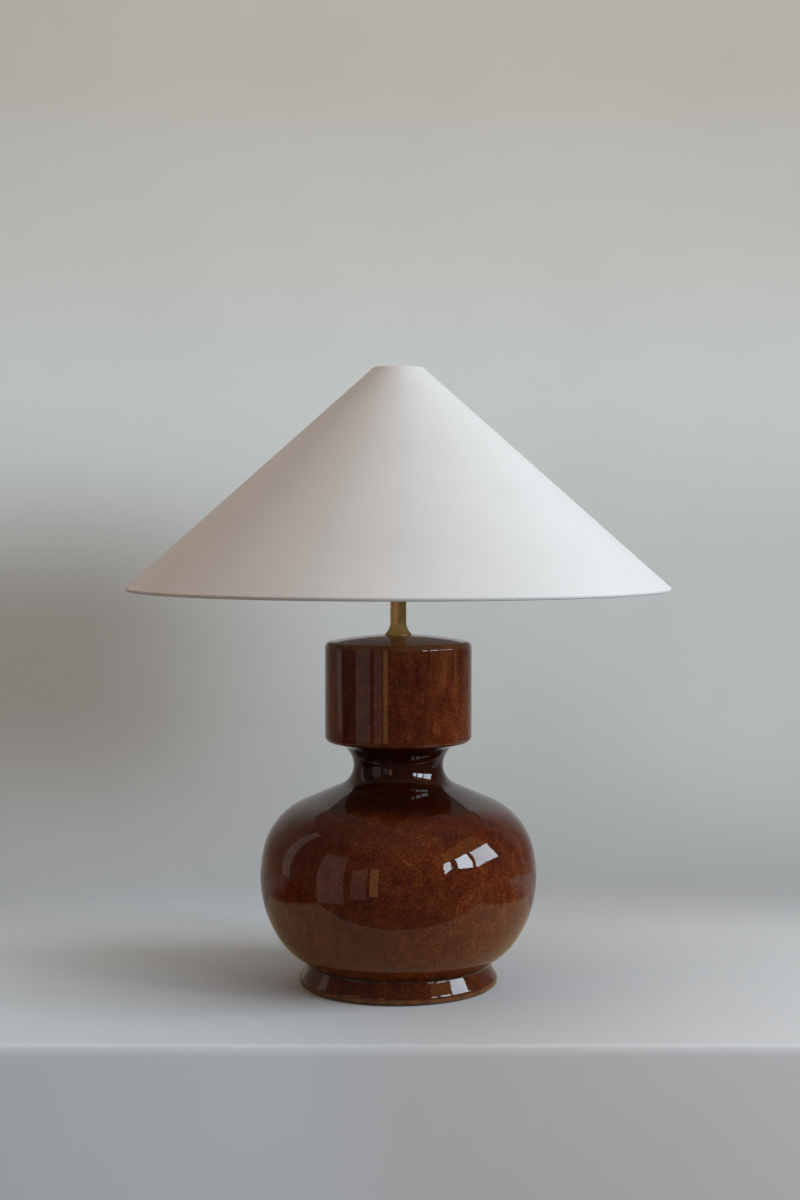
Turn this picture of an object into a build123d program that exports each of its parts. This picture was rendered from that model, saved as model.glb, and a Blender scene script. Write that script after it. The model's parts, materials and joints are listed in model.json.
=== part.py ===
from build123d import *
import math
import os

# Table lamp: a hollow glazed base, a brass stem, a lamp holder with its bulb and a conical shade.
# Sizes are millimetres and degrees. Z is up, z = 0 is the table and the lamp stands on the Z axis.

# Glazed base, outside
base_height = 293.0
foot_radius = 83.0
foot_lip_height = 6.5
foot_lip_round = 4.0
foot_bottom_round = 2.0
foot_neck_radius = 76.0
foot_crease_round = 1.5
belly_radius = 115.7
belly_height = 92.6
belly_arc = 96.0
belly_rise_angle = 13.5
belly_fall_angle = 31.8
under_round = 59.0
under_slope = 34.3
shoulder_round = 56.5
shoulder_slope = 23.4
waist_radius = 37.6
waist_groove = 18.5
collar_radius = 61.4
collar_under_slope = 14.0
collar_round = 5.0
dome_radius = 300.0

# Glazed base, inside
wall = 7.0
floor_thickness = 8.0
foot_ring_width = 16.0
recess_depth = 14.5
inner_round = 3.0
seat_radius = 12.0
cord_notch_width = 9.0
cord_notch_height = 9.0

# Fits shared by the pieces
rod_clearance = 0.6
thread_clearance = 0.1
slip_gap = 0.2
turn_gap = 0.3

# Felt, rod and the fixings under the floor
felt_thickness = 1.5
felt_inset = 3.0
felt_hole_radius = 20.0
rod_radius = 5.0
rod_bore_radius = 3.8
rod_tail = 2.2
rubber_washer_radius = 16.0
rubber_washer_thickness = 2.0
steel_washer_radius = 15.0
steel_washer_thickness = 1.5
lock_washer_radius = 8.0
lock_washer_thickness = 0.8
lock_tooth = 1.6
lock_teeth = 8
nut_across_flats = 17.0
nut_thickness = 6.0
nut_chamfer = 0.8
bushing_flange_radius = 5.6
bushing_flange = 1.2
bushing_length = 10.0
bushing_wall = 0.6

# Stem
stem_radius = 6.7
stem_foot_radius = 11.1
stem_foot_height = 10.5
stem_foot_edge = 0.6
stem_length = 28.8
seal_radius = 8.0
seal_thickness = 1.2
seal_proud = 0.2

# Lamp holder
nipple_radius = 8.0
nipple_height = 7.0
rod_in_cap = 9.0
cap_radius = 19.6
cap_height = 21.0
cap_round = 8.0
cap_wall = 1.2
cap_neck_height = 7.5
lock_screw_radius = 1.5
skirt_height = 38.0
skirt_wall = 1.1
skirt_lip = 1.2
skirt_mouth_radius = 15.6
insulator_floor = 4.0
shell_radius = 13.35
shell_wall = 0.5
shell_height = 21.0
shell_flange_radius = 9.5
contact_width = 6.0
contact_thickness = 0.5
contact_lift = 2.3
contact_back = 8.5
contact_bend = 3.5
contact_front = 2.5
terminal_radius = 1.5
terminal_head_radius = 2.8
terminal_head = 2.0
terminal_slot = 0.8

# Push bar of the switch
bar_radius = 3.0
bar_height = 14.0
bar_stroke = 6.0
bar_stub = 4.0
bar_collar_radius = 3.9
bar_collar_width = 1.2
bar_end_round = 1.2

# Bulb
bulb_radius = 30.0
bulb_length = 105.0
bulb_neck_radius = 12.3
bulb_neck_rise = 3.0
bulb_neck_in_cap = 4.0
bulb_glass = 1.0
bulb_cap_radius = 13.1
bulb_cap_wall = 0.5
bulb_cap_height = 26.0
bulb_tip_radius = 4.8
bulb_tip_height = 1.8
bulb_cone_start = 5.5
bulb_cone_top = 5.0
bulb_shell_start = 4.0

# Shade and its frame
shade_bottom_radius = 225.0
shade_top_radius = 22.0
shade_height = 184.0
shade_drop = 36.0
fabric = 0.45
liner = 0.8
wire_radius = 1.3
wrap_clearance = 0.05
wrap_angle = 165.0
arm_radius = 1.1
arm_count = 3
arm_weld = 1.0
fitter_hole_radius = 20.6
fitter_radius = 30.0
fitter_thickness = 1.5
fitter_height = 45.0
shade_ring_radius = 28.0
shade_ring_flange = 2.0
shade_ring_hub_radius = 23.5
shade_ring_height = 9.0


def sin(angle):
    return math.sin(math.radians(angle))


def cos(angle):
    return math.cos(math.radians(angle))


def tan(angle):
    return math.tan(math.radians(angle))


def polar(centre, radius, angle):
    return (centre[0] + radius * cos(angle), centre[1] + radius * sin(angle))


# Heights and centres that follow from the sizes
floor_under = felt_thickness + recess_depth
floor_top = floor_under + floor_thickness
recess_radius = foot_radius - foot_ring_width
belly_centre = (belly_radius - belly_arc, belly_height)
shoulder_centre = polar(belly_centre, belly_arc - shoulder_round, belly_rise_angle)
shoulder_normal = 90 - shoulder_slope
shoulder_end = polar(shoulder_centre, shoulder_round, shoulder_normal)
under_centre = polar(belly_centre, belly_arc - under_round, -belly_fall_angle)
under_normal = under_slope - 90
under_end = polar(under_centre, under_round, under_normal)
crease = (foot_neck_radius, under_end[1] - (under_end[0] - foot_neck_radius) * tan(under_slope))
groove_end_radius = waist_radius + waist_groove * (1 - sin(shoulder_slope))
groove_end_height = shoulder_end[1] + (shoulder_end[0] - groove_end_radius) * tan(shoulder_slope)
waist_centre = (waist_radius + waist_groove, groove_end_height + waist_groove * cos(shoulder_slope))
dome_centre = (0, base_height - math.sqrt(dome_radius ** 2 - seat_radius ** 2))
washer_level = floor_under - rubber_washer_thickness
lock_level = washer_level - steel_washer_thickness
nut_level = lock_level - lock_washer_thickness
rod_bottom = nut_level - nut_thickness - rod_tail
stem_bottom = base_height + seal_proud
stem_top = stem_bottom + stem_length
cap_level = stem_top + nipple_height
rod_top = stem_top + rod_in_cap
neck_level = cap_level + cap_height
insulator_level = neck_level + cap_neck_height
skirt_top = neck_level + skirt_height
contact_level = insulator_level + insulator_floor
bulb_level = contact_level + contact_lift + contact_thickness + slip_gap
bulb_rim = bulb_level + bulb_cap_height
bulb_top = bulb_level + bulb_length
bar_level = cap_level + bar_height
skirt_bore = cap_radius - skirt_wall
neck_radius = skirt_bore - thread_clearance
cap_bore = neck_radius - cap_wall
shell_outer = shell_radius + shell_wall
fitter_level = stem_top + fitter_height
shade_bottom = fitter_level - shade_drop
shade_top = shade_bottom + shade_height
wrap_inside = wire_radius + wrap_clearance
wrap_outside = wrap_inside + fabric
bottom_wire = (shade_bottom_radius - wrap_outside, shade_bottom + wrap_outside)
top_wire = (shade_top_radius - wrap_outside, shade_top - wrap_outside)
shade_normal = math.degrees(math.atan2(bottom_wire[0] - top_wire[0], top_wire[1] - bottom_wire[1]))


def turned(*lines):
    """Solid turned about Z from an outline of lines given as radius and height."""
    edges = [edge for line in lines for edge in line.edges()]
    return revolve(Plane.XZ * make_face(edges), Axis.Z)


def turned_points(*points):
    return turned(Polyline(*points, close=True))


def ring(inner, outer, bottom, top):
    return turned_points((inner, bottom), (outer, bottom), (outer, top), (inner, top))


def rod_along(start, end, radius):
    """Round bar between two points."""
    along = Vector(*end) - Vector(*start)
    return extrude(Plane(origin=start, z_dir=along) * Circle(radius), amount=along.length)


def vessel_side(inset):
    """Side of the vessel from the end of its underside to the top of its dome, offset inwards."""
    edge_round = max(collar_round - inset, inner_round)
    low, high = -belly_fall_angle, belly_rise_angle
    under = CenterArc(under_centre, under_round - inset, under_normal, low - under_normal)
    belly = CenterArc(belly_centre, belly_arc - inset, low, high - low)
    shoulder = CenterArc(shoulder_centre, shoulder_round - inset, high, shoulder_normal - high)
    groove_turn = collar_under_slope + shoulder_slope - 180
    groove = CenterArc(waist_centre, waist_groove + inset, shoulder_normal - 180, groove_turn)
    slope = Line(shoulder @ 1, groove @ 0)
    side = collar_radius - inset
    corner = (side, (groove @ 1).Y + (side - (groove @ 1).X) * tan(collar_under_slope))
    crown = dome_radius - inset
    round_rise = math.sqrt((crown - edge_round) ** 2 - (side - edge_round) ** 2)
    round_centre = (side - edge_round, dome_centre[1] + round_rise)
    round_turn = math.degrees(math.atan2(round_rise, side - edge_round))
    collar = FilletPolyline(groove @ 1, corner, (side, round_centre[1]), radius=edge_round)
    edge = CenterArc(round_centre, edge_round, 0, round_turn)
    dome = CenterArc(dome_centre, crown, round_turn, 90 - round_turn)
    return [under, belly, shoulder, slope, groove, collar, edge, dome]


def make_ceramic_base():
    rounds = [foot_bottom_round, foot_lip_round, foot_crease_round]
    lip = [(foot_radius, felt_thickness), (foot_radius, foot_lip_height), crease]
    foot = FilletPolyline((0, felt_thickness), *lip, under_end, radius=rounds)
    outside = vessel_side(0)
    body = turned(foot, *outside, Line(outside[-1] @ 1, foot @ 0))
    inside = vessel_side(wall)
    start = inside[0] @ 0
    corner = (start.X - (start.Y - floor_top) / tan(under_slope), floor_top)
    floor_line = FilletPolyline((0, floor_top), corner, start, radius=inner_round)
    hollow = turned(floor_line, *inside, Line(inside[-1] @ 1, floor_line @ 0))
    recess = ring(0, recess_radius, 0, floor_under)
    seat = ring(0, collar_radius, base_height, base_height + collar_round)
    hole = ring(0, rod_radius + rod_clearance, 0, base_height)
    return body - hollow - recess - seat - hole - cord_notch()


def cord_notch():
    """Arched way for the cord through the back of the foot."""
    straight = cord_notch_height - cord_notch_width / 2
    block = Box(cord_notch_width, foot_radius, straight, align=(Align.CENTER, Align.MIN, Align.MIN))
    arch = extrude(Plane.XZ * Pos(0, straight) * Circle(cord_notch_width / 2), amount=-foot_radius)
    return Pos(0, recess_radius - foot_ring_width, felt_thickness) * (block + arch)


def make_felt_pad():
    return ring(felt_hole_radius, foot_radius - felt_inset, 0, felt_thickness)


def make_threaded_rod():
    return ring(rod_bore_radius, rod_radius, rod_bottom, rod_top)


def make_lock_washer():
    inner = rod_radius + thread_clearance
    body = ring(inner, lock_washer_radius, nut_level, lock_level)
    tooth = Pos(0, 0, lock_washer_thickness / 2) * Box(2 * lock_tooth, lock_tooth, lock_washer_thickness)
    for place in PolarLocations(lock_washer_radius, lock_teeth):
        body += Pos(0, 0, nut_level) * place * tooth
    return body


def make_hex_nut():
    bottom = nut_level - nut_thickness
    flat = nut_across_flats / 2
    blank = extrude(RegularPolygon(flat, 6, major_radius=False), amount=nut_thickness)
    corner = flat / cos(30)
    lower_edge = [(0, 0), (flat, 0), (corner, nut_chamfer)]
    cone = turned_points(*lower_edge, (corner, nut_thickness), (0, nut_thickness))
    return Pos(0, 0, bottom) * (blank & cone) - ring(0, rod_radius + thread_clearance, bottom, nut_level)


def make_rod_bushing():
    outer = rod_bore_radius - thread_clearance
    bottom = rod_bottom - bushing_flange
    flange = ring(outer - bushing_wall, bushing_flange_radius, bottom, rod_bottom)
    return flange + ring(outer - bushing_wall, outer, bottom, rod_bottom + bushing_length)


def make_stem():
    edge = (stem_foot_radius, stem_bottom + stem_foot_edge)
    waist = (stem_radius, stem_bottom + stem_foot_height)
    bore = rod_radius + slip_gap
    flare = TangentArc(waist, edge, tangent=(0, -1))
    underside = [edge, (stem_foot_radius, stem_bottom), (bore, stem_bottom)]
    rest = Polyline(*underside, (bore, stem_top), (stem_radius, stem_top), waist)
    pocket = ring(0, seal_radius + slip_gap, stem_bottom, base_height + seal_thickness)
    return turned(flare, rest) - pocket


def make_holder_cap():
    top = insulator_level
    start = (nipple_radius, cap_level)
    outer_side = FilletPolyline(start, (cap_radius, cap_level), (cap_radius, neck_level), radius=cap_round)
    neck = [(neck_radius, neck_level), (neck_radius, top), (0, top)]
    nipple = [(0, stem_top), (nipple_radius, stem_top)]
    body = turned(outer_side, Polyline(outer_side @ 1, *neck, *nipple, outer_side @ 0))
    middle = (0, cap_level + cap_wall)
    cup = FilletPolyline(middle, (cap_bore, middle[1]), (cap_bore, top), radius=cap_round - cap_wall)
    hollow = turned(cup, Polyline(cup @ 1, (0, top), middle))
    body = body - hollow - ring(0, rod_radius + thread_clearance, stem_top, neck_level)
    reach = 2 * cap_radius
    way = rod_along((-reach, 0, bar_level), (reach, 0, bar_level), bar_radius + slip_gap)
    return body - way - lock_screw_bar(lock_screw_radius + thread_clearance)


def lock_screw_bar(radius):
    middle = stem_top + nipple_height / 2
    return rod_along((0, rod_radius, middle), (0, nipple_radius, middle), radius)


def make_cap_lock_screw():
    screw = lock_screw_bar(lock_screw_radius) - ring(0, rod_radius + thread_clearance, stem_top, cap_level)
    slot = Box(terminal_slot / 2, terminal_slot, lock_screw_radius * 2)
    return screw - Pos(0, nipple_radius, stem_top + nipple_height / 2) * slot


def make_holder_skirt():
    tube = ring(skirt_bore, cap_radius, neck_level, skirt_top)
    return tube + ring(skirt_mouth_radius, cap_radius, skirt_top - skirt_lip, skirt_top)


def terminal_places():
    return [(-contact_back + terminal_head_radius, 0), ((shell_flange_radius + shell_outer) / 2, 0)]


def make_holder_insulator():
    outer = skirt_bore - slip_gap
    body = ring(0, outer, insulator_level, skirt_top - skirt_lip)
    body -= ring(0, shell_outer + thread_clearance, contact_level, skirt_top)
    for x, y in terminal_places():
        bottom = Vector(x, y, insulator_level - slip_gap)
        body -= rod_along(bottom, Vector(x, y, contact_level), terminal_radius + thread_clearance)
    return body


def make_screw_shell():
    tube = ring(shell_radius, shell_outer, contact_level, contact_level + shell_height)
    return tube + ring(shell_flange_radius, shell_outer, contact_level, contact_level + shell_wall)


def make_centre_contact():
    low = [(-contact_back, 0), (-contact_bend, 0), (contact_front, contact_lift)]
    high = [(x, z + contact_thickness) for x, z in reversed(low)]
    strip = Plane.XZ * make_face(Polyline(*low, *high, close=True))
    return Pos(0, 0, contact_level) * extrude(strip, amount=contact_width / 2, both=True)


def make_terminal_screws():
    screws = []
    for x, y in terminal_places():
        head = Vector(x, y, insulator_level - terminal_head)
        seat = Vector(x, y, insulator_level)
        screw = rod_along(head, seat, terminal_head_radius)
        screw += rod_along(seat, Vector(x, y, contact_level), terminal_radius)
        slot = Box(terminal_head_radius * 2, terminal_slot, terminal_head)
        screws.append(screw - Pos(*head) * slot)
    return Compound(children=screws)


def shade_ring(flange_level, direction):
    """Threaded ring with its flange on one level and its hub above or below."""
    bore = cap_radius + slip_gap
    levels = sorted([flange_level, flange_level + direction * shade_ring_flange])
    flange = ring(bore, shade_ring_radius, *levels)
    hub_levels = sorted([flange_level, flange_level + direction * shade_ring_height])
    return flange + ring(bore, shade_ring_hub_radius, *hub_levels)


def make_switch_bar():
    half = cap_radius + bar_stub + bar_stroke / 2
    bar = rod_along((-half, 0, 0), (half, 0, 0), bar_radius)
    bar = fillet(bar.edges().filter_by(GeomType.CIRCLE), bar_end_round)
    stop = math.sqrt(cap_bore ** 2 - bar_collar_radius ** 2) - slip_gap - bar_stroke / 2
    for side in (-1, 1):
        bar += rod_along((side * (stop - bar_collar_width), 0, 0), (side * stop, 0, 0), bar_collar_radius)
    return Pos(-bar_stroke / 2, 0, bar_level) * bar


def globe_outline(inset):
    """Neck, flare and ball of the bulb, offset inwards."""
    ball = bulb_radius - inset
    neck = bulb_neck_radius - inset
    centre = (0, bulb_top - bulb_radius)
    start = (neck, bulb_rim + bulb_neck_rise)
    rise = centre[1] - start[1]
    flare = (rise ** 2 - ball ** 2 + neck ** 2) / (ball - neck) / 2
    turn = math.degrees(math.atan2(rise, neck + flare))
    bottom = bulb_rim - bulb_neck_in_cap
    base = Polyline((0, bottom), (neck, bottom), start)
    sweep_out = CenterArc((neck + flare, start[1]), flare, 180, -turn)
    dome = CenterArc(centre, ball, -turn, 90 + turn)
    return [base, sweep_out, dome, Line(dome @ 1, base @ 0)]


def make_bulb_globe():
    return turned(*globe_outline(0)) - turned(*globe_outline(bulb_glass))


def make_bulb_cap():
    return ring(bulb_cap_radius - bulb_cap_wall, bulb_cap_radius, bulb_level + bulb_shell_start, bulb_rim)


def make_bulb_cone():
    wide = bulb_cap_radius - bulb_cap_wall
    low = bulb_level + bulb_tip_height
    shoulder = bulb_level + bulb_shell_start
    top = bulb_level + bulb_cone_top
    return turned_points((0, low), (bulb_cone_start, low), (wide, shoulder), (wide, top), (0, top))


def make_bulb_contact():
    button = ring(0, bulb_tip_radius, bulb_level, bulb_level + bulb_tip_height)
    return fillet(button.edges().group_by(Axis.Z)[0], bulb_tip_height / 2)


def make_shade_cover():
    """Woven cover: a straight cone whose two edges roll round the wires."""
    low_out = CenterArc(bottom_wire, wrap_outside, shade_normal, -wrap_angle)
    low_in = CenterArc(bottom_wire, wrap_inside, shade_normal, -wrap_angle)
    high_out = CenterArc(top_wire, wrap_outside, shade_normal, wrap_angle)
    high_in = CenterArc(top_wire, wrap_inside, shade_normal, wrap_angle)
    sides = [Line(low_out @ 0, high_out @ 0), Line(low_in @ 0, high_in @ 0)]
    ends = [Line(low_out @ 1, low_in @ 1), Line(high_out @ 1, high_in @ 1)]
    return turned(low_out, low_in, high_out, high_in, *sides, *ends)


def make_shade_liner():
    start = wrap_outside + slip_gap
    low = polar(bottom_wire, start, shade_normal + 90)
    high = polar(top_wire, start, shade_normal - 90)
    deep = wrap_inside - liner
    corners = [polar(low, wrap_inside, shade_normal), polar(high, wrap_inside, shade_normal)]
    corners += [polar(high, deep, shade_normal), polar(low, deep, shade_normal)]
    return turned_points(*corners)


def wire_ring(centre):
    return Pos(0, 0, centre[1]) * Torus(centre[0], wire_radius)


def make_fitter_ring():
    return ring(fitter_hole_radius, fitter_radius, fitter_level, fitter_level + fitter_thickness)


def make_fitter_arms(fitter, bottom_ring):
    start = (fitter_radius - arm_weld, 0, fitter_level + fitter_thickness / 2)
    arm = rod_along(start, (bottom_wire[0], 0, bottom_wire[1]), arm_radius)
    arms = []
    for place in range(arm_count):
        turned_arm = Rot(0, 0, 90 + place * 360 / arm_count) * arm
        arms.append((turned_arm - fitter - bottom_ring).solids().sort_by(SortBy.VOLUME)[-1])
    return Compound(children=arms)


def make_lamp():
    bore = rod_radius + thread_clearance
    upper_ring_level = fitter_level + fitter_thickness + turn_gap
    fitter_ring = make_fitter_ring()
    bottom_ring = wire_ring(bottom_wire)
    return {
        "ceramic_base": make_ceramic_base(),
        "felt_pad": make_felt_pad(),
        "threaded_rod": make_threaded_rod(),
        "rubber_washer": ring(bore, rubber_washer_radius, washer_level, floor_under),
        "steel_washer": ring(bore, steel_washer_radius, lock_level, washer_level),
        "lock_washer": make_lock_washer(),
        "hex_nut": make_hex_nut(),
        "rod_bushing": make_rod_bushing(),
        "stem": make_stem(),
        "stem_seal": ring(rod_radius + slip_gap, seal_radius, base_height, base_height + seal_thickness),
        "holder_cap": make_holder_cap(),
        "cap_lock_screw": make_cap_lock_screw(),
        "holder_skirt": make_holder_skirt(),
        "holder_insulator": make_holder_insulator(),
        "screw_shell": make_screw_shell(),
        "centre_contact": make_centre_contact(),
        "terminal_screws": make_terminal_screws(),
        "lower_shade_ring": shade_ring(fitter_level, -1),
        "upper_shade_ring": shade_ring(upper_ring_level, 1),
        "switch_bar": make_switch_bar(),
        "bulb_globe": make_bulb_globe(),
        "bulb_cap": make_bulb_cap(),
        "bulb_cone": make_bulb_cone(),
        "bulb_contact": make_bulb_contact(),
        "shade_cover": make_shade_cover(),
        "shade_liner": make_shade_liner(),
        "top_ring": wire_ring(top_wire),
        "bottom_ring": bottom_ring,
        "fitter_ring": fitter_ring,
        "fitter_arms": make_fitter_arms(fitter_ring, bottom_ring),
    }


os.makedirs("parts", exist_ok=True)
for name, shape in make_lamp().items():
    export_step(shape, f"parts/{name}.step")
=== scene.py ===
import json
import math

import bmesh
import bpy
import numpy as np
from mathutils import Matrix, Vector


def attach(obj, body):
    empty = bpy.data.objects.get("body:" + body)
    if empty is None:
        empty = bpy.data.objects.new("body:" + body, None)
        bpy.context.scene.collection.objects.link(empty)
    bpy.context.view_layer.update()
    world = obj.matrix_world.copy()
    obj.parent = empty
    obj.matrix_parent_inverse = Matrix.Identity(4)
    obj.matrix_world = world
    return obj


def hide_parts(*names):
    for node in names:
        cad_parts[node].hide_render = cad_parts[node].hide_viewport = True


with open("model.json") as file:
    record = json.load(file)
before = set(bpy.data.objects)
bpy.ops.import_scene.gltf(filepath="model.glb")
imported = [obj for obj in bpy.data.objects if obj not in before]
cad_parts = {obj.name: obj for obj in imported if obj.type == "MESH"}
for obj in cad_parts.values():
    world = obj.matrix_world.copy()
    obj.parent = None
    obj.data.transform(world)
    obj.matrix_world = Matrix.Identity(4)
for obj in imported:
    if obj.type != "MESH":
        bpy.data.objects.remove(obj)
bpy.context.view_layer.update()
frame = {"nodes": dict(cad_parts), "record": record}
nodes = frame["nodes"]

# Sizes shared with the solids, in metres. A pair is a radius and a height.
SHADE_BOTTOM = (0.225, 0.331)
SHADE_TOP = (0.022, 0.515)
WRAP_IN = 0.00135
FABRIC = 0.00045
BOTTOM_WIRE = (SHADE_BOTTOM[0] - WRAP_IN - FABRIC, SHADE_BOTTOM[1] + WRAP_IN + FABRIC)
TOP_WIRE = (SHADE_TOP[0] - WRAP_IN - FABRIC, SHADE_TOP[1] - WRAP_IN - FABRIC)
SLOPE = math.atan2(BOTTOM_WIRE[0] - TOP_WIRE[0], TOP_WIRE[1] - BOTTOM_WIRE[1])

FULL_TURN = 2 * math.pi
# Most values of a noise texture lie in this range
NOISE_RANGE = (0.3, 0.7)


class Graph:
    """A material or a world and the nodes that feed its shader."""

    def __init__(self, name, kind="materials", shader="Principled BSDF"):
        self.material = getattr(bpy.data, kind).new(name)
        self.material.use_nodes = True
        self.tree = self.material.node_tree
        self.shader = self.tree.nodes[shader]

    def put(self, socket, value):
        """Links an input to another node's output, or sets its value."""
        if isinstance(value, bpy.types.NodeSocket):
            self.tree.links.new(value, socket)
        else:
            socket.default_value = value

    def set(self, **values):
        """Inputs of the shader itself, with _ for a space in their names."""
        for name, value in values.items():
            self.put(self.shader.inputs[name.replace("_", " ")], value)

    def add(self, kind, inputs, **settings):
        node = self.tree.nodes.new("ShaderNode" + kind)
        for name, value in settings.items():
            setattr(node, name, value)
        for name, value in inputs.items():
            self.put(node.inputs[name], value)
        return node

    def math(self, operation, a, b=0.0, clamp=False):
        return self.add("Math", {0: a, 1: b}, operation=operation, use_clamp=clamp).outputs[0]

    def times(self, first, *others):
        for other in others:
            first = self.math("MULTIPLY", first, other)
        return first

    def total(self, first, *others):
        for other in others:
            first = self.math("ADD", first, other)
        return first

    def weigh(self, *pairs):
        """Sum of values, each times its weight."""
        return self.total(*[self.times(value, weight) for value, weight in pairs])

    def place(self, scale=(1, 1, 1)):
        where = self.add("TexCoord", {}).outputs["Object"]
        return self.add("Mapping", {"Vector": where, "Scale": scale}).outputs[0]

    def axes(self, where):
        return self.add("SeparateXYZ", {0: where}).outputs

    def reach(self, x, y):
        """Distance from the lamp's axis."""
        return self.math("SQRT", self.weigh((x, x), (y, y)))

    def noise(self, where, scale, detail=2.0, roughness=0.5, distortion=0.0):
        inputs = {"Vector": where, "Scale": scale, "Detail": detail, "Roughness": roughness, "Distortion": distortion}
        return self.add("TexNoise", inputs).outputs["Fac"]

    def cells(self, where, scale, channel):
        """Distance to the nearest of many scattered points, and a number that is that point's own."""
        node = self.add("TexVoronoi", {"Vector": where, "Scale": scale, "Randomness": 1.0})
        own = self.add("SeparateColor", {0: node.outputs["Color"]}).outputs[channel]
        return node.outputs["Distance"], own

    def spread(self, value, low, high, to_low=0.0, to_high=1.0, smooth=True):
        inputs = {"Value": value, "From Min": low, "From Max": high, "To Min": to_low, "To Max": to_high}
        kind = "SMOOTHSTEP" if smooth else "LINEAR"
        return self.add("MapRange", inputs, interpolation_type=kind).outputs["Result"]

    def ramp(self, value, *stops):
        node = self.add("ValToRGB", {"Fac": value})
        band = node.color_ramp
        while len(band.elements) < len(stops):
            band.elements.new(0.5)
        for element, (place, colour) in zip(band.elements, stops):
            element.position = place
            element.color = (*colour, 1)
        return node.outputs["Color"]

    def mix(self, factor, a, b, blend="MIX"):
        node = self.add("Mix", {}, data_type="RGBA", blend_type=blend)
        self.put(node.inputs[0], factor)
        for socket, value in ((node.inputs[6], a), (node.inputs[7], b)):
            self.put(socket, (*value, 1) if isinstance(value, tuple) else value)
        return node.outputs[2]

    def tint(self, colour, by):
        return self.mix(1.0, colour, by, "MULTIPLY")

    def bump(self, height):
        """Normal of a surface with the given height in metres."""
        return self.add("Bump", {"Height": height, "Distance": 1.0, "Strength": 1.0}).outputs[0]


def grown(colour, factor):
    return tuple(min(c * factor, 1.0) for c in colour)


def plain(name, colour, spread=0.15, grain=90.0, rough=(0.3, 0.4), metal=0.0, bump=0.00002):
    """A finish with cloudy colour, uneven gloss and a fine surface."""
    g = Graph(name)
    where = g.place()
    cloud = g.noise(where, grain, 4, 0.6)
    fine = g.noise(where, grain * 9, 3, 0.6)
    low, high = NOISE_RANGE
    colours = ((low, grown(colour, 1 - spread)), (high, grown(colour, 1 + spread * 0.6)))
    g.set(Base_Color=g.ramp(cloud, *colours), Metallic=metal)
    g.set(Roughness=g.spread(fine, low, high, *rough))
    g.set(Normal=g.bump(g.weigh((fine, bump), (cloud, bump * 2))))
    return g.material


# Colours of the glaze, and the heights and radii on the base between which it changes
GLAZE_DARK, GLAZE_MID = (0.036, 0.0042, 0.0012), (0.090, 0.0140, 0.0033)
GLAZE_WARM, GLAZE_AMBER = (0.155, 0.0330, 0.0072), (0.34, 0.118, 0.029)
# The first two colours on the next line are painted shade, for the waist under the collar and for the crease above the
# foot
GLAZE_WAIST_SHADE, GLAZE_CREASE_SHADE, GLAZE_EDGE = (0.018, 0.0026, 0.0009), (0.008, 0.0014, 0.0006), (0.19, 0.070, 0.019)
LIP_HEIGHTS, LIP_RADII = (0.0030, 0.0062), (0.0790, 0.0815)
CREASE_HEIGHT, CREASE_REACH, CREASE_RADII = 0.0186, (0.0004, 0.0018), (0.079, 0.082)
# The middle pair of heights bounds painted reflected light low on the belly
FOOT_HEIGHTS, FLOOR_REFLECTION_HEIGHTS, LOW_HEIGHTS = (0.0175, 0.026), (0.040, 0.110), (0.045, 0.125)
# The last pair of radii bounds the painted shade in the waist
SHOULDER_HEIGHTS, WAIST_TOP_HEIGHTS, WAIST_SHADE_RADII = (0.110, 0.140), (0.198, 0.206), (0.067, 0.100)
# The second pair of heights bounds painted light on the collar's top
COLLAR_HEIGHTS, DOME_LIGHT_HEIGHTS = (0.196, 0.212), (0.2850, 0.2880)
LOW_RIM_START, LOW_RIM_END, LOW_RIM_RADII = (0.199, 0.202), (0.2058, 0.2085), (0.0545, 0.0590)
TOP_RIM_HEIGHTS, TOP_RIM_RADII = (0.2815, 0.2850), (0.0535, 0.0590)


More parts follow.
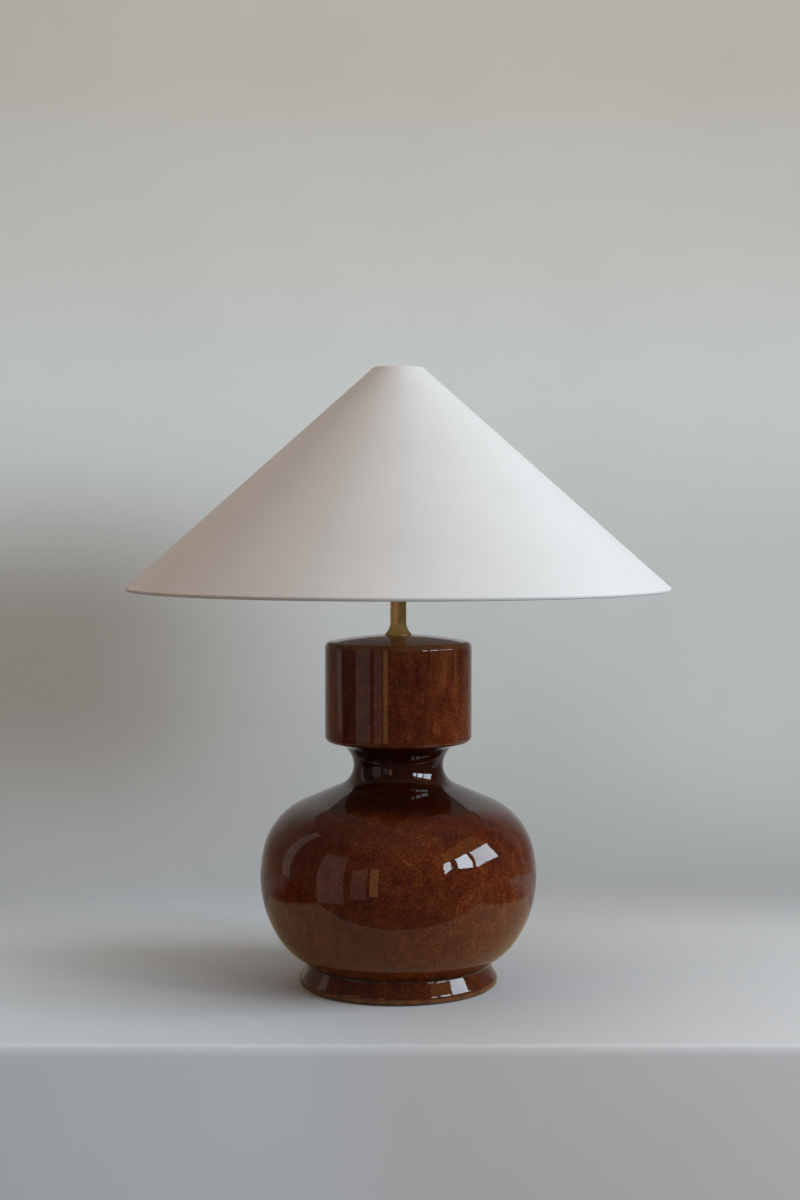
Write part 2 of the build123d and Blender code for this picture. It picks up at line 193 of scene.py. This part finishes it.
def glaze():
    """Mottled brown glaze with runs on the collar and amber edges, with painted shade in the waist and the crease,
    painted reflected light low on the belly and painted light on the collar's top.
    """
    g = Graph("glaze")
    x, y, z = g.axes(g.place())
    radius = g.reach(x, y)
    squat = g.place((1, 1, 0.75))
    speck = g.noise(squat, 680, 4, 0.65)
    cloud = g.noise(squat, 110, 3, 0.55)
    drift = g.noise(squat, 16, 2, 0.5)
    tone = g.weigh((speck, 0.56), (cloud, 0.30), (drift, 0.24))
    body = g.ramp(tone, (0.39, GLAZE_DARK), (0.53, GLAZE_MID), (0.64, GLAZE_WARM), (0.78, GLAZE_AMBER))

    collar = g.spread(z, *COLLAR_HEIGHTS)
    runs = g.noise(g.place((1, 1, 0.14)), 60, 3, 0.6)
    body = g.mix(g.times(g.spread(runs, 0.52, 0.72, 0, 0.32), collar), body, GLAZE_AMBER)
    body = g.mix(g.times(g.spread(runs, 0.30, 0.46, 0.45, 0), collar), body, GLAZE_DARK)
    # Painted reflected light from the floor: the lower belly is mixed towards amber
    body = g.mix(g.spread(z, *FLOOR_REFLECTION_HEIGHTS, 0.06, 0), body, GLAZE_AMBER)
    body = g.tint(body, g.times(g.spread(z, *LOW_HEIGHTS, 0.97, 1.0), g.spread(z, *FOOT_HEIGHTS, 0.62, 1.0)))
    # Painted light and reflection: the collar's top is made half again as bright
    body = g.tint(body, g.spread(z, *DOME_LIGHT_HEIGHTS, 1.0, 1.5))
    near, own = g.cells(squat, 760.0, 0)
    dots = g.times(g.spread(near, 0.12, 0.34, 1, 0), g.spread(own, 0.70, 0.84), 0.62)
    body = g.mix(dots, body, GLAZE_AMBER)

    # Painted shade: the glaze is darkened in the waist under the collar, most near the axis
    waist = g.times(g.spread(z, *SHOULDER_HEIGHTS), g.spread(z, *WAIST_TOP_HEIGHTS, 1, 0))
    body = g.mix(g.times(waist, g.spread(radius, *WAIST_SHADE_RADII, 0.92, 0.13)), body, GLAZE_WAIST_SHADE)
    # Painted shade in the crease between the belly and the foot
    off_crease = g.math("ABSOLUTE", g.math("SUBTRACT", z, CREASE_HEIGHT))
    crease = g.times(g.spread(off_crease, *CREASE_REACH, 0.9, 0), g.spread(cloud, 0.38, 0.60, 0.45, 1.0))
    body = g.mix(g.times(crease, g.spread(radius, *CREASE_RADII, 1, 0)), body, GLAZE_CREASE_SHADE)

    top_rim = g.times(g.spread(z, *TOP_RIM_HEIGHTS), g.spread(radius, *TOP_RIM_RADII))
    low_rim = g.times(g.spread(z, *LOW_RIM_END, 1, 0), g.spread(radius, *LOW_RIM_RADII), g.spread(z, *LOW_RIM_START))
    lip = g.times(g.spread(z, *LIP_HEIGHTS, 1, 0), g.spread(radius, *LIP_RADII))
    edge = g.math("ADD", g.total(top_rim, g.times(low_rim, 0.35)), g.times(lip, 1.5), clamp=True)
    body = g.mix(g.times(edge, g.spread(cloud, 0.32, 0.66, 0.25, 0.8)), body, GLAZE_EDGE)
    g.set(Base_Color=body, IOR=1.46, Roughness=g.spread(speck, 0.3, 0.8, 0.020, 0.050))

    wave = g.noise(g.place(), 46, 1.5, 0.5)
    peel = g.noise(g.place(), 560, 2, 0.5)
    near, own = g.cells(g.place(), 60.0, 1)
    pits = g.times(g.spread(near, 0.012, 0.035, -0.00014, 0), g.spread(own, 0.70, 0.72))
    g.set(Normal=g.bump(g.total(g.weigh((wave, 0.00012), (peel, 0.000010)), pits)))
    return g.material


def brass(name, colour, patina, rough, metal):
    """Brass brushed along Z, darker and duller where it has aged."""
    g = Graph(name)
    old, clean = 0.36, 0.62
    age = g.noise(g.place(), 120, 4, 0.6)
    streak = g.noise(g.place((2200, 2200, 12)), 1, 2, 0.6)
    rings = g.noise(g.place((3, 3, 3400)), 1, 2, 0.6)
    tone = g.weigh((age, 0.7), (streak, 0.3))
    g.set(Base_Color=g.ramp(tone, (old, patina), (clean, colour)), Metallic=g.spread(tone, old, clean, *metal))
    g.set(Roughness=g.spread(g.total(age, rings), 0.7, 1.3, *rough))
    g.set(Normal=g.bump(g.weigh((streak, 0.00008), (age, 0.00002))))
    return g.material


def weave(name, colour, pitch=0.00055):
    """Plain weave that runs along the flat cut of the cone."""
    g = Graph(name)
    x, y, _ = g.axes(g.place())
    slant = g.math("DIVIDE", g.reach(x, y), math.sin(SLOPE))
    turn = g.times(g.math("ARCTAN2", x, g.times(y, -1.0)), math.sin(SLOPE))
    across = g.math("DIVIDE", g.times(slant, g.math("SINE", turn)), pitch)
    along = g.math("DIVIDE", g.times(slant, g.math("COSINE", turn)), pitch)
    warp = g.math("SINE", g.times(across, math.pi))
    weft = g.math("SINE", g.times(along, math.pi))
    upper = g.add("Mix", {}, data_type="FLOAT")
    g.put(upper.inputs[0], g.spread(g.times(warp, weft), -0.25, 0.25))
    g.put(upper.inputs[2], g.math("ABSOLUTE", weft))
    g.put(upper.inputs[3], g.math("ABSOLUTE", warp))
    thread = upper.outputs[0]

    flat = g.add("CombineXYZ", {0: across, 1: along, 2: 0.0}).outputs[0]
    slubs = [g.noise(g.add("Mapping", {"Vector": flat, "Scale": scale}).outputs[0], 1, 1, 0.5)
             for scale in ((0.9, 0.02, 1), (0.02, 0.9, 1))]
    slub = g.total(*slubs)
    age = g.noise(g.place(), 14, 3, 0.55)
    tone = g.weigh((thread, 0.20), (slub, 0.30), (age, 0.5))
    g.set(Base_Color=g.ramp(tone, (0.38, grown(colour, 0.93)), (0.80, grown(colour, 1.03))))
    g.set(Roughness=g.spread(thread, 0, 1, 0.92, 0.78))
    g.set(Sheen_Weight=0.12, Sheen_Roughness=0.5, Specular_IOR_Level=0.25)
    g.set(Normal=g.bump(g.weigh((thread, 0.00006), (slub, 0.00004))))
    return g.material


def felt():
    """Pressed fibres, brown and slightly cloudy."""
    g = Graph("felt")
    where = g.place()
    fibre = g.noise(where, 900, 5, 0.7, 1.5)
    cloud = g.noise(where, 60, 3, 0.6)
    tone = g.weigh((fibre, 0.7), (cloud, 0.3))
    g.set(Base_Color=g.ramp(tone, (0.34, (0.045, 0.036, 0.028)), (0.66, (0.12, 0.098, 0.078))))
    g.set(Roughness=g.spread(fibre, *NOISE_RANGE, 0.88, 1.0))
    g.set(Sheen_Weight=0.25, Sheen_Roughness=0.6, Specular_IOR_Level=0.2)
    g.set(Normal=g.bump(g.times(fibre, 0.0002)))
    return g.material


# One finish for each slot of the record
materials = {
    "glaze": glaze(),
    "felt": felt(),
    "aged_brass": brass("aged_brass", (0.91, 0.625, 0.24), (0.63, 0.41, 0.15), (0.34, 0.50), (0.50, 0.80)),
    "bright_brass": brass("bright_brass", (0.72, 0.55, 0.25), (0.50, 0.36, 0.14), (0.20, 0.32), (0.9, 1.0)),
    "zinc_steel": plain("zinc_steel", (0.62, 0.62, 0.60), 0.18, 160, (0.30, 0.48), 1.0),
    "black_rubber": plain("black_rubber", (0.030, 0.030, 0.030), 0.25, 240, (0.62, 0.82), 0.0, 0.00004),
    "black_plastic": plain("black_plastic", (0.035, 0.030, 0.028), 0.2, 180, (0.28, 0.42)),
    "white_porcelain": plain("white_porcelain", (0.85, 0.84, 0.80), 0.06, 120, (0.10, 0.20)),
    "opal_glass": plain("opal_glass", (0.93, 0.92, 0.88), 0.03, 40, (0.22, 0.30), 0.0, 0.000004),
    "nickel": plain("nickel", (0.70, 0.69, 0.66), 0.12, 200, (0.22, 0.36), 1.0, 0.000008),
    "black_glass": plain("black_glass", (0.020, 0.020, 0.025), 0.25, 160, (0.06, 0.12), 0.0, 0.000006),
    "ivory_fabric": weave("ivory_fabric", (0.81, 0.785, 0.75)),
    "white_liner": plain("white_liner", (0.80, 0.77, 0.73), 0.05, 70, (0.55, 0.70), 0.0, 0.00003),
    "white_wire": plain("white_wire", (0.86, 0.85, 0.81), 0.08, 220, (0.35, 0.50), 0.0, 0.00003),
}
for part in frame["record"]["subparts"]:
    solid = nodes[part["node"]].data
    solid.materials.clear()
    solid.materials.append(materials[part["material_slot"]])


def grid_faces(index, round_rows, round_columns):
    """Quads of a grid of vertex numbers, which goes on round to its first row or column where that is asked for."""
    rows, columns = index.shape
    faces = []
    for i in range(rows if round_rows else rows - 1):
        for k in range(columns if round_columns else columns - 1):
            j, m = (i + 1) % rows, (k + 1) % columns
            faces.append((index[i, k], index[i, m], index[j, m], index[j, k]))
    return faces


def mesh_object(name, points, faces, material, solid):
    """Smooth mesh in the scene. The faces of a solid are turned outward."""
    mesh = bpy.data.meshes.new(name)
    mesh.from_pydata(points.reshape(-1, 3).tolist(), [], [[int(v) for v in face] for face in faces])
    if solid:
        shape = bmesh.new()
        shape.from_mesh(mesh)
        bmesh.ops.recalc_face_normals(shape, faces=shape.faces)
        shape.to_mesh(mesh)
        shape.free()
    mesh.polygons.foreach_set("use_smooth", [True] * len(mesh.polygons))
    mesh.materials.append(material)
    made = bpy.data.objects.new(name, mesh)
    bpy.context.scene.collection.objects.link(made)
    return made


def dress(name, node, body, slot, points, whole=True):
    """Piece from rows and columns of places that stands for a node. Its rows make a closed loop. Where its columns
    don't go all the way round, both ends of the loop are closed between the mirrored rows."""
    rows, columns = points.shape[:2]
    index = np.arange(rows * columns).reshape(rows, columns)
    faces = grid_faces(index, True, whole)
    if not whole:
        for i in range(rows // 2 - 1):
            for k in (0, columns - 1):
                faces.append((index[i, k], index[i + 1, k], index[rows - 2 - i, k], index[rows - 1 - i, k]))
    piece = mesh_object(name, points, faces, materials[slot], True)
    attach(piece, body)
    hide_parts(node)
    return piece


def arc(centre, radius, start, end, count):
    angles = np.linspace(start, end, count)
    return np.stack([centre[0] + radius * np.cos(angles), centre[1] + radius * np.sin(angles)], axis=1)


def round_angles(columns):
    return np.linspace(0, FULL_TURN, columns, endpoint=False)


def turned(radii, heights, angle):
    """Places on rows of the given radii and heights, turned about the lamp's axis."""
    return np.stack([radii * np.cos(angle), radii * np.sin(angle), heights + 0 * radii * angle], axis=2)


def shade_fabric():
    """Cover cut as one sector: rolled round both wires, with a hem line and a lap seam at the back."""
    wrap, fold_back, crease_size = math.radians(165), math.radians(68), 0.00025
    hem, hem_width, hem_dent = 0.0039, 0.00035, 0.00010
    hem_places = np.array([0.0005, 0.0015, 0.003, 0.0036, 0.0039, 0.0042, 0.0048, 0.006, 0.009])
    plain_start, plain_rows, roll_rows, columns = 0.014, 44, 15, 320
    lap, lap_rise, lap_lift, ripple_height = 0.012, 0.008, FABRIC + 0.00006, 0.00012
    rise = np.array([-math.sin(SLOPE), math.cos(SLOPE)])
    normal = np.array([math.cos(SLOPE), math.sin(SLOPE)])

    def fold(wire, offset, double, side):
        """Turned edge from its end inside the cone round the wire to a crease that lies in line with the cone."""
        back = SLOPE + side * fold_back
        away = np.array([math.cos(back), math.sin(back)])
        roll = arc(wire, offset + double, SLOPE + side * wrap, back, roll_rows)
        crease = np.array(wire) + np.linalg.solve([normal, away], [offset, offset + double])
        inward = (roll[-1] - crease) / np.linalg.norm(roll[-1] - crease)
        turn = [crease + 4 * crease_size * inward, crease + crease_size * inward,
                crease + 0.3 * crease_size * (inward - side * rise), crease - crease_size * side * rise]
        return np.concatenate([roll, turn])

    def path(offset, low_double=0.0):
        """Fold, slant and fold, with a faint line where the turned edge ends behind the cover."""
        slant = math.dist(BOTTOM_WIRE, TOP_WIRE)
        middle = np.linspace(plain_start, slant - plain_start, plain_rows)
        places = np.concatenate([hem_places, middle, slant - hem_places[::-1]])
        dent = np.exp(-((places - hem) / hem_width) ** 2) + np.exp(-((slant - places - hem) / hem_width) ** 2)
        depth = offset - hem_dent * dent
        run = np.array(BOTTOM_WIRE) + depth[:, None] * normal + places[:, None] * rise
        return np.concatenate([fold(BOTTOM_WIRE, offset, low_double, -1), run, fold(TOP_WIRE, offset, 0.0, 1)[::-1]])

    outer, inner = path(WRAP_IN + FABRIC, FABRIC), path(WRAP_IN)
    outward = path(WRAP_IN + 1.0) - inner
    outward /= np.linalg.norm(outward, axis=1, keepdims=True)
    loop = np.concatenate([outer, inner[::-1]])
    push = np.concatenate([outward, outward[::-1]])
    radius, level = loop[:, :1], loop[:, 1:]
    length = np.linspace(0, 1, columns)[None] * (FULL_TURN * radius + lap)
    over = np.clip((length - (FULL_TURN * radius - lap_rise)) / lap_rise, 0, 1)
    over = over * over * (3 - 2 * over)
    angle = math.pi / 2 - lap / 2 / radius + length / radius
    ripple = ripple_height * (np.sin(7 * angle + 0.6) + 0.6 * np.sin(17 * angle + 2.1))
    share = np.clip((level - SHADE_BOTTOM[1]) / (SHADE_TOP[1] - SHADE_BOTTOM[1]), 0, 1)
    shift = over * lap_lift + ripple * np.clip(np.sin(np.pi * share), 0, 1)
    points = turned(radius + push[:, :1] * shift, level + push[:, 1:] * shift, angle)
    piece = dress("shade_fabric", "shade_cover", "shade", "ivory_fabric", points, whole=False)


def felt_disc():
    """Felt with soft edges, slightly uneven on top."""
    inner, outer, thick, edge = 0.020, 0.080, 0.0015, 0.0004
    rows, columns, sink = 24, 160, 0.00006

    def corner(radius, height, start):
        return arc((radius, height), edge, math.radians(start), math.radians(start + 90), 4)

    near, far = inner + edge, outer - edge
    below = np.linspace((near + edge, 0), (far - edge, 0), rows)
    above = np.linspace((far - edge, thick), (near + edge, thick), rows)
    outline = np.concatenate([corner(near, edge, 180), below, corner(far, edge, 270),
                              corner(far, thick - edge, 0), above, corner(near, thick - edge, 90)])
    points = turned(outline[:, :1], outline[:, 1:], round_angles(columns))
    wave = np.sin(points[..., 0] * 900 + 1.3) * np.sin(points[..., 1] * 1040 + 0.4)
    points[..., 2] -= sink * (1 + wave) * (points[..., 2] > thick / 2)
    piece = dress("felt_disc", "felt_pad", "base", "felt", points)


def bevelled(corners, size):
    """Closed outline whose corners are cut by a narrow bevel."""
    corners = np.array(corners, dtype=float)
    outline = []
    for i, corner in enumerate(corners):
        for other in (corners[i - 1], corners[(i + 1) % len(corners)]):
            along = other - corner
            outline.append(corner + along / np.linalg.norm(along) * size)
    return np.array(outline)


def threaded_tube(name, node, body, slot, crest, levels, pitch, depth, runouts, rest=None, columns=72):
    """Tube with a rounded thread outside that runs out at both ends. The rest of its outline goes from the top of the
    thread round to its bottom. Without it, the tube is a thin pressed shell."""
    rows_per_turn, shell = 8, 0.00035
    bottom, top = levels
    heights = np.linspace(bottom, top, int((top - bottom) / pitch * rows_per_turn) + 2)[:, None]
    angle = round_angles(columns)
    runout = np.clip((heights - bottom) / runouts[0], 0, 1) * np.clip((top - heights) / runouts[1], 0, 1)
    groove = 0.5 - 0.5 * np.cos(FULL_TURN * heights / pitch - angle)
    outside = crest - depth * groove * runout
    if rest is None:
        others, other_heights = outside[::-1] - shell, heights[::-1]
    else:
        rest = np.array(rest)
        others, other_heights = np.repeat(rest[:, :1], columns, axis=1), rest[:, 1:]
    points = turned(np.concatenate([outside, others]), np.concatenate([heights, other_heights]), angle)
    dress(name, node, body, slot, points)


def ribbed_ring(name, node, flange_level, direction):
    """Shade ring with finger ribs round its flange."""
    bore, hub, flange, thick, height, bevel = 0.0198, 0.0235, 0.028, 0.002, 0.009, 0.0003
    ribs, columns_per_rib, rib_depth, rim = 48, 8, 0.0006, 0.026
    corners = [(bore, 0), (flange, 0), (flange, thick), (hub, thick), (hub, height), (bore, height)]
    outline = bevelled(corners, bevel)
    angle = round_angles(ribs * columns_per_rib)
    points = turned(outline[:, :1], flange_level + direction * outline[:, 1:], angle)
    cut = rib_depth * np.clip(np.cos(ribs * angle), 0, 1) ** 0.7
    points[outline[:, 0] > rim, :, :2] *= (1 - cut / flange)[None, :, None]
    dress(name, node, "base", "aged_brass", points)


shade_fabric()
felt_disc()
threaded_tube("bulb_thread", "bulb_cap", "bulb", "nickel", crest=0.0131, levels=(0.3685, 0.3905),
              pitch=0.00363, depth=0.0006, runouts=(0.0015, 0.005))
skirt_rest = [(0.0196, 0.3870), (0.0196, 0.3878), (0.0194, 0.3880), (0.0158, 0.3880), (0.0156, 0.3878),
              (0.0156, 0.3870), (0.0158, 0.3868), (0.0183, 0.3868), (0.0185, 0.3866), (0.0185, 0.3502),
              (0.0187, 0.3500), (0.0194, 0.3500)]
threaded_tube("skirt_thread", "holder_skirt", "base", "aged_brass", crest=0.0196, levels=(0.3502, 0.3868),
              pitch=0.0025, depth=0.0006, runouts=(0.0025, 0.0025), rest=skirt_rest)
rod_rest = [(0.0050, 0.0145), (0.0050, 0.3308), (0.0048, 0.3310), (0.0040, 0.3310), (0.0038, 0.3308),
            (0.0038, 0.0037), (0.0040, 0.0035), (0.0047, 0.0035)]
threaded_tube("rod_thread", "threaded_rod", "base", "zinc_steel", crest=0.0050, levels=(0.0038, 0.0140),
              pitch=0.0010, depth=0.0005, runouts=(0.0008, 0.0010), rest=rod_rest, columns=48)
ribbed_ring("lower_ring_ribbed", "lower_shade_ring", 0.367, -1)
ribbed_ring("upper_ring_ribbed", "upper_shade_ring", 0.3688, 1)


def stage_mesh(name, profile, material):
    """Sheet across the stage that follows a profile from front to back."""
    left, right, columns = -2.6, 1.46, 3
    points = np.array([[(x, y, z) for x in np.linspace(left, right, columns)] for y, z in profile])
    index = np.arange(len(profile) * columns).reshape(-1, columns)
    sheet = mesh_object(name, points, grid_faces(index, False, False), material, False)
    return sheet


def floor_paint():
    """Pale floor that melts into the background far from the lamp. The lamp itself sees it only as wide as a plinth."""
    shaded_front_face, top_face, far_paint = (0.585, 0.565, 0.555), (0.735, 0.725, 0.715), (0.56, 0.56, 0.56)
    shadow_side_light, reflection_tint, white = (1.04, 1.14, 1.19), (1.0, 0.84, 0.56), (1.0, 1.0, 1.0)
    dark_room, back_room = (0.0, 0.0, 0.0), (0.44, 0.44, 0.45)
    plinth_half, plinth_back = (0.29, 0.35), (0.17, 0.20)
    g = Graph("floor")
    x, y, z = g.axes(g.place())
    side = g.math("ABSOLUTE", x)
    path = g.add("LightPath", {}).outputs
    seen, mirrored = path["Is Camera Ray"], path["Is Glossy Ray"]
    # Painted shade: the turned-down front face is darker than the top
    pale = g.mix(g.spread(z, -0.01, 0.0), shaded_front_face, top_face)
    pale = g.mix(g.spread(y, 0.1, 0.45, 0, 0.6), pale, far_paint)
    # Painted light: the floor is lighter and cooler on the left, where the lamp's shadow falls
    pale = g.tint(pale, g.mix(g.spread(x, -0.12, 0.06), shadow_side_light, white))
    beyond = g.math("MAXIMUM", g.spread(side, *plinth_half), g.spread(y, *plinth_back))
    around = g.mix(g.spread(y, 0.02, 0.25), dark_room, back_room)
    # Painted reflection: reflections see the plinth warmer than the camera does, while diffuse light sees it pale
    plinth = g.mix(beyond, g.mix(mirrored, pale, g.tint(pale, reflection_tint)), around)
    cloud = g.spread(g.noise(g.place(), 3, 3, 0.5), *NOISE_RANGE, 0.96, 1.0)
    g.set(Base_Color=g.tint(g.mix(seen, plinth, pale), cloud), Roughness=0.85, Specular_IOR_Level=0.2)
    far = g.math("MAXIMUM", g.spread(y, 0.18, 0.50), g.spread(side, 0.50, 1.1))
    far = g.math("MAXIMUM", far, g.spread(z, -0.45, -0.15, 1, 0))
    clear = g.add("BsdfTransparent", {}).outputs[0]
    blend = g.add("MixShader", {0: g.times(far, seen), 1: g.shader.outputs[0], 2: clear})
    g.put(g.tree.nodes["Material Output"].inputs[0], blend.outputs[0])
    return g.material


def wall_paint():
    """Plaster, shaded at its foot, brown far to the left and dark far to the right."""
    foot, eye, top = (0.60, 0.59, 0.57), (0.86, 0.84, 0.80), (0.90, 0.85, 0.76)
    brown, black = (0.50, 0.34, 0.22), (0.0, 0.0, 0.0)
    g = Graph("wall")
    x, _, z = g.axes(g.place())
    paint = g.ramp(g.spread(z, 0.05, 1.05, smooth=False), (0.0, foot), (0.45, eye), (1.0, top))
    paint = g.mix(g.spread(x, -1.0, -0.15, 0.75, 0), paint, brown)
    paint = g.mix(g.spread(x, 0.15, 0.8, 0, 0.75), paint, black)
    g.set(Base_Color=paint, Roughness=0.85, Specular_IOR_Level=0.2)
    return g.material


bend = arc((0.52, 0.16), 0.16, -math.pi / 2, 0, 12).tolist()
edge = arc((-0.188, -0.006), 0.006, math.radians(150), math.pi / 2, 6).tolist()
stage_mesh("floor", [(-0.42, -0.5)] + edge + [(0.2, 0.0), (0.52, 0.0)], floor_paint())
# The wall behind lights the lamp and shows in its glaze, and never stands between it and a view from behind
stage_mesh("wall", bend + [(0.68, 1.7)], wall_paint()).visible_camera = False


def area_light(name, place, target, size, radiance, colour):
    """Rectangular light of a given radiance."""
    data = bpy.data.lights.new(name, "AREA")
    data.shape = "RECTANGLE"
    data.size, data.size_y = size
    data.energy = radiance * math.pi * size[0] * size[1]
    data.color = colour
    lamp = bpy.data.objects.new(name, data)
    lamp.location = place
    lamp.rotation_euler = (Vector(target) - Vector(place)).to_track_quat("-Z", "Y").to_euler()
    lamp.visible_camera = False
    bpy.context.scene.collection.objects.link(lamp)
    return lamp


# Window on the right, in three panes from back to front: where each starts and ends along Y, and its radiance
DAY, WINDOW_X, PANE_LEVEL, PANE_HEIGHT = (0.76, 0.89, 1.0), 1.6, 0.86, 0.62
PANES = {"window_near": (-0.66, 0.08, 10.6), "window_middle": (-1.29, -0.77, 15.5), "window_far": (-2.05, -1.55, 13.0)}
for name, (start, end, radiance) in PANES.items():
    middle = (start + end) / 2
    size = (end - start, PANE_HEIGHT)
    area_light(name, (WINDOW_X, middle, PANE_LEVEL), (0, middle, PANE_LEVEL), size, radiance, DAY)
area_light("overhead", (0.0, 0.0, 2.4), (0, 0, 0.3), (1.8, 1.8), 0.92, (1.0, 0.97, 0.92))
left_fill = area_light("left_fill", (-1.9, -0.9, 1.8), (0, 0.2, 0.4), (1.4, 1.2), 0.68, (1.0, 0.46, 0.20))
front_fill = area_light("front_fill", (0.2, -2.7, 0.3), (0.2, 0, 0.3), (1.8, 0.7), 0.65, (0.80, 0.91, 1.0))
left_fill.visible_glossy = front_fill.visible_glossy = False
# Dim surfaces of the room that show in the glaze
area_light("left_wall", (-1.95, 0.48, 0.7), (0, 0.48, 0.7), (0.40, 2.8), 0.42, (1.0, 0.79, 0.73))
area_light("left_card", (-1.665, -1.115, 0.40), (0, 0, 0.40), (0.86, 1.8), 0.36, (1.0, 0.84, 0.78))
area_light("front_card", (-1.04, -1.71, 0.15), (0, 0, 0.15), (0.44, 0.9), 0.42, (1.0, 0.62, 0.52))
area_light("front_strip", (-0.727, -2.087, 0.36), (0, 0, 0.36), (0.27, 1.16), 1.3, (1.0, 0.50, 0.19))
area_light("window_head", (WINDOW_X, -0.9, 1.57), (0, -0.9, 1.57), (2.0, 0.75), 0.75, (1.0, 0.47, 0.13))


def room():
    """Dim room, lighter overhead. Seen straight, and in reflections that look past the lamp to the back, it is a pale
    plastered background."""
    below, base, eye = (0.44, 0.45, 0.46), (0.32, 0.33, 0.34), (0.44, 0.46, 0.455)
    bright, high = (0.53, 0.56, 0.55), (0.465, 0.445, 0.405)
    right_light_paint, left_shadow_paint, light = (0.46, 0.473, 0.48), (0.235, 0.210, 0.185), (0.98, 0.985, 1.0)
    dim, overhead, overhead_start = 0.07, 0.30, (0.72, 0.95)
    g = Graph("room", "worlds", "Background")
    where = g.add("TexCoord", {}).outputs["Generated"]
    x, y, z = g.axes(where)
    path = g.add("LightPath", {}).outputs
    image = g.math("MAXIMUM", path["Is Glossy Ray"], path["Is Transmission Ray"])
    seen = g.math("MAXIMUM", path["Is Camera Ray"], g.times(image, g.spread(y, 0.5, 0.8)))
    # The background is painted darker near its foot and lighter higher up, as painted shade and light
    height = g.spread(z, -0.5, 0.3, smooth=False)
    paint = g.ramp(height, (0.0, below), (0.37, base), (0.57, eye), (0.70, bright), (0.90, high))
    # Painted shadow on the background left of the lamp and painted light right of it, at the lamp's height, and painted
    # shade towards the left
    level = g.times(g.spread(z, -0.20, -0.09), g.spread(z, -0.06, 0.04, 1, 0), g.spread(y, 0.6, 0.95))
    paint = g.mix(g.times(g.spread(x, 0.02, 0.19, 0, 0.95), level), paint, right_light_paint)
    paint = g.mix(g.times(g.spread(x, -0.17, -0.01, 0.90, 0), level), paint, left_shadow_paint)
    paint = g.tint(paint, g.spread(x, -0.2, 0.0, 0.93, 1.0))
    paint = g.tint(paint, g.spread(g.noise(where, 9, 4, 0.6), *NOISE_RANGE, 0.975, 1.015))
    g.set(Color=g.mix(seen, light, paint))
    g.set(Strength=g.math("MAXIMUM", seen, g.spread(z, *overhead_start, dim, overhead)))
    return g.material


bpy.context.scene.world = room()

CAMERA_PLACE, CAMERA_DOWN = (0.0014, -1.611, 0.3925), 2.505
camera_data = bpy.data.cameras.new("camera")
camera_data.sensor_fit = "VERTICAL"
camera_data.sensor_height = 36.0
camera_data.lens = 57.98
camera = bpy.data.objects.new("camera", camera_data)
camera.location = CAMERA_PLACE
camera.rotation_euler = (math.radians(90 - CAMERA_DOWN), 0, 0)
bpy.context.scene.collection.objects.link(camera)
bpy.context.scene.camera = camera

bpy.context.scene.view_settings.view_transform = "Standard"
